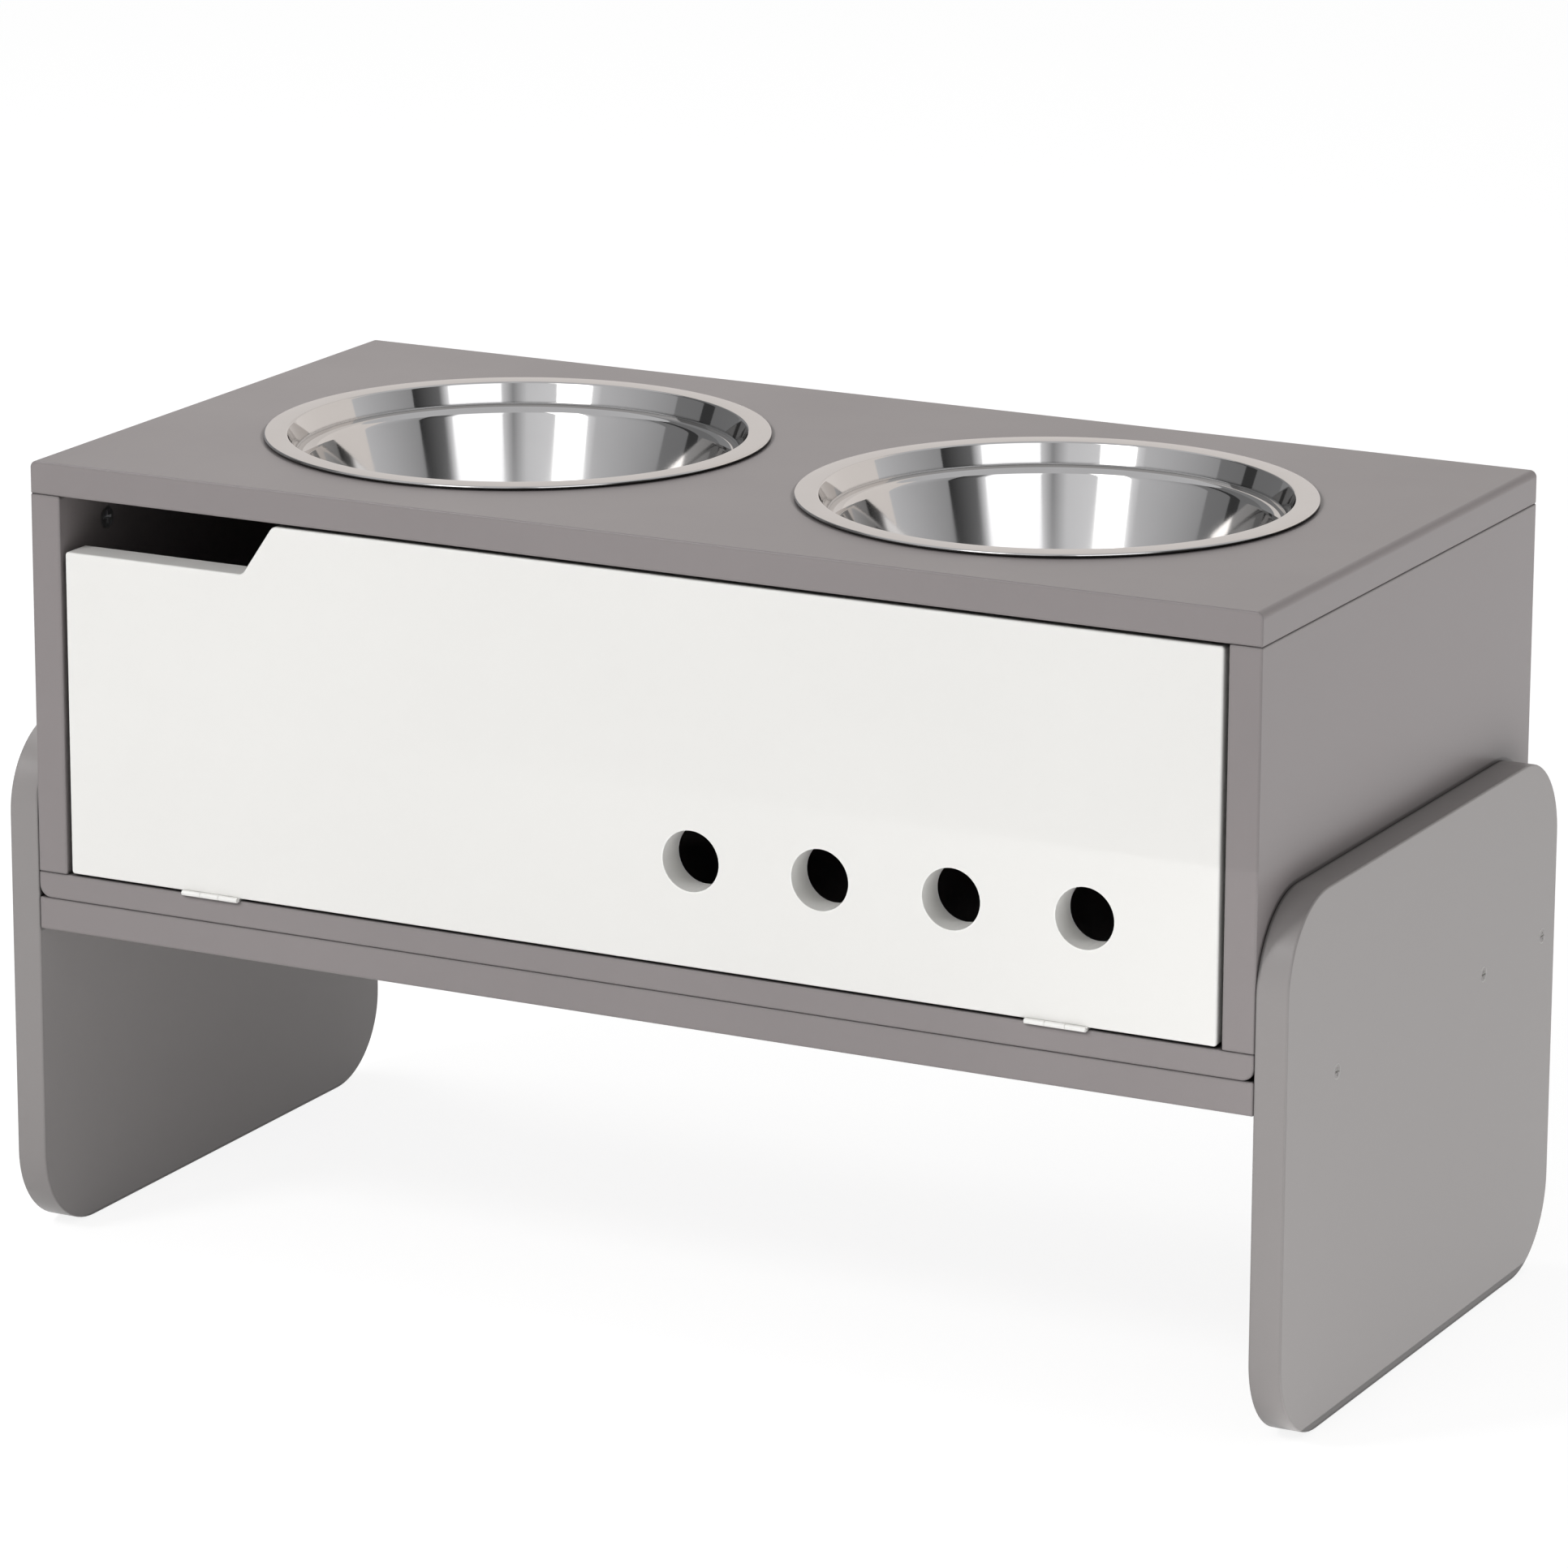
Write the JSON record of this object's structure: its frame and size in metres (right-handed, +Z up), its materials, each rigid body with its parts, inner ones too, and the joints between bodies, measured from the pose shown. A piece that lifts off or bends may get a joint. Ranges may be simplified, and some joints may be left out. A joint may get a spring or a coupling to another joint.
{
  "type": "elevated dog feeder",
  "caption": "Raised pet feeder: storage cabinet with a drop-down door between two leg panels, and lift-out steel bowls in its top.",
  "frame": {"origin": "on the floor under the middle of the cabinet: centre of the bounding box's bottom face", "axes": "+Z up, +X to the right along the cabinet's width, +Y from the door to the back"},
  "size_m": [0.63, 0.3025, 0.3669],
  "materials": {
    "grey_board": "smooth matt warm-grey paint film on fibreboard",
    "grey_fibreboard": "thin hardboard, matt warm grey",
    "white_board": "smooth matt white paint film on fibreboard",
    "beech_dowel": "plain fluted beech",
    "polished_steel": "mirror-polished stainless steel",
    "white_hinge": "white powder-coated steel",
    "steel_fastener": "zinc-plated steel",
    "steel_plate": "nickel-plated steel",
    "zinc_fitting": "plain die-cast zinc",
    "white_plastic": "moulded white plastic",
    "ferrite": "sintered ferrite magnet"
  },
  "bodies": {
    "cabinet": {"top_panel": "grey_board", "side_panel_left": "grey_board", "side_panel_right": "grey_board", "cabinet_floor": "grey_board", "back_panel": "grey_fibreboard", "base_board": "grey_board", "leg_left": "grey_board", "leg_right": "grey_board", "leg_screws": "steel_fastener", "base_screws": "steel_fastener", "cam_locks": "zinc_fitting", "cam_bolts": "steel_fastener", "dowels": "beech_dowel", "hinge_left_floor_leaf": "white_hinge", "hinge_right_floor_leaf": "white_hinge", "hinge_left_pin": "steel_fastener", "hinge_right_pin": "steel_fastener", "hinge_floor_screws": "steel_fastener", "catch_housing": "white_plastic", "catch_magnet": "ferrite", "catch_pole_plates": "steel_plate", "catch_screws": "steel_fastener"},
    "door": {"door_panel": "white_board", "hinge_left_door_leaf": "white_hinge", "hinge_right_door_leaf": "white_hinge", "hinge_door_screws": "steel_fastener", "strike_plate": "steel_plate", "strike_screw": "steel_fastener"},
    "bowl_left": {"bowl_left": "polished_steel"},
    "bowl_right": {"bowl_right": "polished_steel"}
  },
  "joints": [
    {"name": "door_hinge", "type": "hinge", "parent": "cabinet", "child": "door", "pos_m": [0, -0.1514, 0.1755], "axis": [1, 0, 0], "range_deg": [0, 180]},
    {"name": "bowl_left_lift", "type": "slide", "parent": "cabinet", "child": "bowl_left", "axis": [0, 0, 1], "range_m": [0, 0.08]},
    {"name": "bowl_right_lift", "type": "slide", "parent": "cabinet", "child": "bowl_right", "axis": [0, 0, 1], "range_m": [0, 0.08]}
  ]
}
